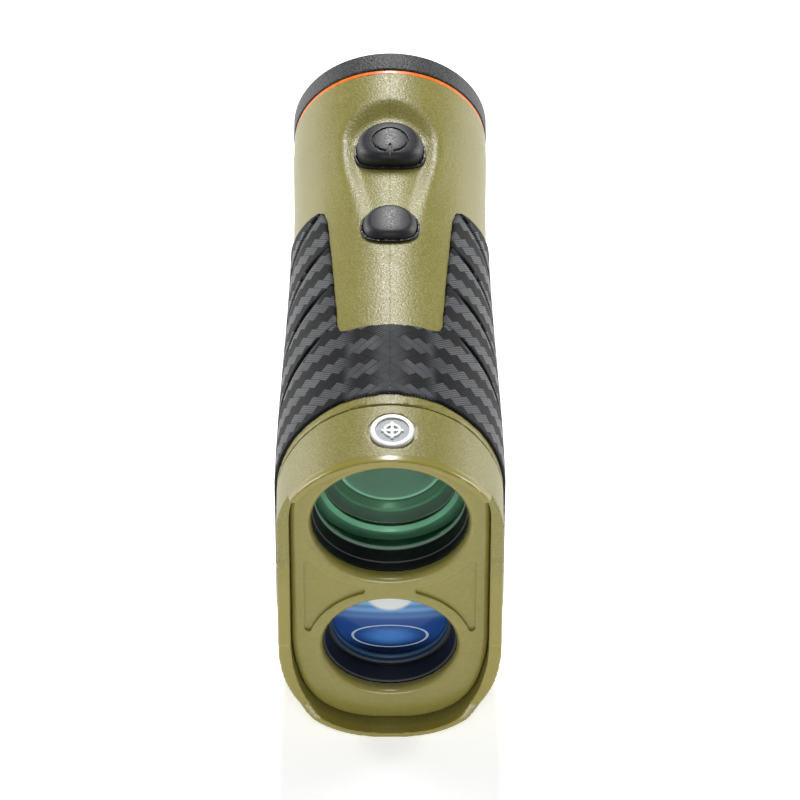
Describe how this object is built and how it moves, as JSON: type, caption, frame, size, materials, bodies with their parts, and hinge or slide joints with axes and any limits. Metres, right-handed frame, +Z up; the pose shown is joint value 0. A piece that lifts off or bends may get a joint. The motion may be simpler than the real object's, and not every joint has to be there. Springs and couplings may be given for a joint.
{
  "type": "laser rangefinder",
  "caption": "Handheld upright monocular laser rangefinder with viewing objective above a receiver lens, two top buttons, rubber flank grips and a turning eyecup.",
  "frame": {"origin": "middle of the footprint, on the flat land that the object stands on", "axes": "+Z up; +Y from the objective end to the eyepiece along both optical axes; +X to the right of the user"},
  "size_m": [0.0416, 0.109, 0.0744],
  "materials": {
    "olive_grained": "fine grained moulded plastic, satin",
    "olive_smooth": "smooth moulded plastic, satin",
    "grip_rubber": "woven-look textured rubber",
    "accent_orange": "smooth orange plastic",
    "cup_rubber": "grained soft rubber",
    "button_rubber": "satin rubber",
    "black_plastic": "matt moulded plastic",
    "black_anodised": "black anodised",
    "badge_white": "white printed plastic",
    "coated_green": "green coated optical glass",
    "coated_blue": "blue coated optical glass",
    "optical_glass": "polished optical glass",
    "steel": "bright steel",
    "brass_insert": "turned brass",
    "circuit_board": "green solder mask",
    "battery_sleeve": "printed shrink sleeve"
  },
  "bodies": {
    "root": {"left_shell": "olive_grained", "right_shell": "olive_grained", "front_bezel": "olive_grained", "lens_plate": "olive_smooth", "left_grip": "grip_rubber", "right_grip": "grip_rubber", "badge": "badge_white", "accent_ring": "accent_orange", "power_button_seal": "button_rubber", "mode_button_seal": "button_rubber", "power_switch": "steel", "mode_switch": "steel", "button_board": "circuit_board", "ocular_barrel": "black_anodised", "display_module": "black_plastic", "objective_retaining_ring": "black_anodised", "objective_barrel": "black_anodised", "objective_crown_lens": "coated_green", "objective_flint_lens": "optical_glass", "receiver_retaining_ring": "black_anodised", "receiver_barrel": "black_anodised", "receiver_lens": "coated_blue", "detector_board": "circuit_board", "detector_module": "steel", "prism_housing": "black_plastic", "front_prism": "optical_glass", "roof_prism": "optical_glass", "laser_module": "steel", "main_board": "circuit_board", "processor_shield": "steel", "battery_tube": "black_plastic", "battery": "battery_sleeve", "front_contact": "steel", "tripod_bush": "brass_insert", "lanyard_bar": "steel", "shell_screw_1": "steel", "shell_screw_2": "steel", "shell_screw_3": "steel", "shell_screw_4": "steel"},
    "power_key": {"power_button": "button_rubber"},
    "mode_key": {"mode_button": "button_rubber"},
    "eyecup_drive": {"eyecup_detent_ring": "black_plastic"},
    "eyecup": {"eyecup": "cup_rubber"},
    "diopter": {"diopter_ring": "black_plastic"},
    "ocular": {"ocular_cell": "black_anodised", "eye_lens": "optical_glass", "field_lens": "optical_glass"},
    "cap_core": {"cap_seal": "cup_rubber", "cap_contact": "steel"},
    "cap": {"battery_cap": "black_plastic", "cap_tab_pin": "steel"},
    "tab": {"cap_tab": "black_plastic"}
  },
  "joints": [
    {"name": "power_button_press", "type": "slide", "parent": "root", "child": "power_key", "axis": [0, 0, -1], "range_m": [0, 0.0008], "stiffness_N_per_m": 1500, "springref_m": -0.0005},
    {"name": "mode_button_press", "type": "slide", "parent": "root", "child": "mode_key", "axis": [0, 0, -1], "range_m": [0, 0.0008], "stiffness_N_per_m": 1500, "springref_m": -0.0005},
    {"name": "eyecup_turn", "type": "hinge", "parent": "root", "child": "eyecup_drive", "pos_m": [0, 0.0422, 0.0537], "axis": [0, 1, 0], "range_deg": [0, 90]},
    {"name": "eyecup_rise", "type": "slide", "parent": "eyecup_drive", "child": "eyecup", "axis": [0, 1, 0], "range_m": [0, 0.005]},
    {"name": "diopter_turn", "type": "hinge", "parent": "root", "child": "diopter", "pos_m": [0, 0.049, 0.0537], "axis": [0, 1, 0], "range_deg": [-80, 80]},
    {"name": "ocular_focus", "type": "slide", "parent": "root", "child": "ocular", "axis": [0, 1, 0], "range_m": [-0.0012, 0.0012]},
    {"name": "cap_lift", "type": "slide", "parent": "root", "child": "cap_core", "axis": [0, 1, 0], "range_m": [0, 0.003]},
    {"name": "cap_turn", "type": "hinge", "parent": "cap_core", "child": "cap", "pos_m": [0, 0.0475, 0.02], "axis": [0, 1, 0], "range_deg": [0, 720]},
    {"name": "cap_tab_fold", "type": "hinge", "parent": "cap", "child": "tab", "pos_m": [0, 0.04825, 0.0198], "axis": [-1, 0, 0], "range_deg": [0, 95]}
  ],
  "couplings": [
    {"joint": "eyecup_turn", "follows": "eyecup_rise", "rad_per_m": 314.16},
    {"joint": "diopter_turn", "follows": "ocular_focus", "rad_per_m": 1163.6},
    {"joint": "cap_turn", "follows": "cap_lift", "rad_per_m": 4188.8}
  ]
}
